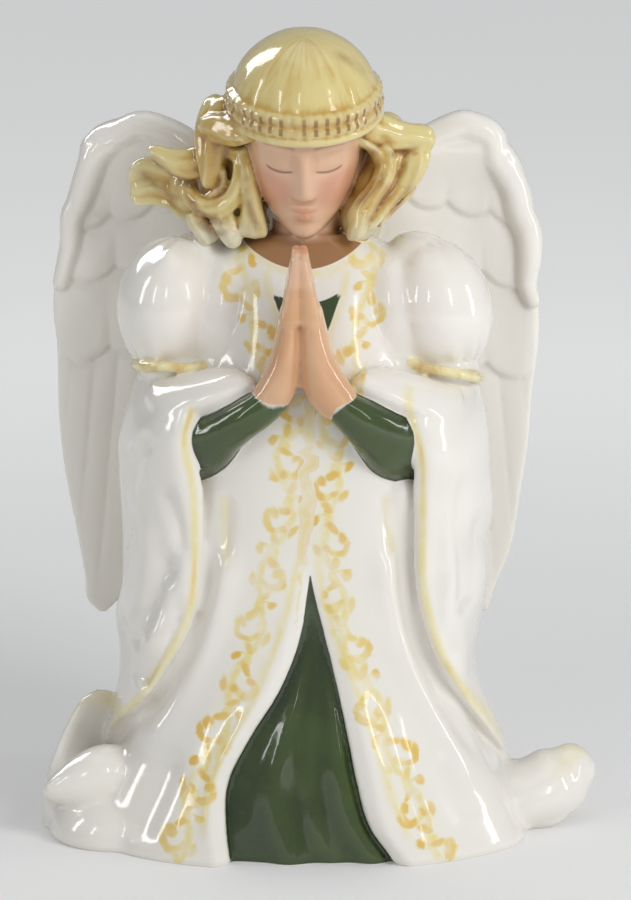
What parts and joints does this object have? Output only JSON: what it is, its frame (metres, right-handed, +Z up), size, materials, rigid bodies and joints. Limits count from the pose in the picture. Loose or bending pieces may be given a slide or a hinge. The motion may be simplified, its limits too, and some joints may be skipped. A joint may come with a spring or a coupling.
{
  "type": "glazed porcelain praying angel figurine",
  "caption": "Standing angel in a long robe with hands held in prayer, hanging sleeves and folded wings, cast hollow in one piece on a flat underside, for display on a shelf.",
  "frame": {"origin": "on the flat underside, below the middle of the figure", "axes": "+Z up towards the crown, the figure faces -Y, +X is the viewer's right seen from the front"},
  "size_m": [0.1239, 0.0782, 0.1778],
  "materials": {
    "glazed_porcelain": "clear glossy glaze over white porcelain, with hand-painted hair, skin, green underdress and yellow-gold scroll borders"
  },
  "bodies": {
    "root": {"angel_figurine": "glazed_porcelain"}
  },
  "joints": []
}
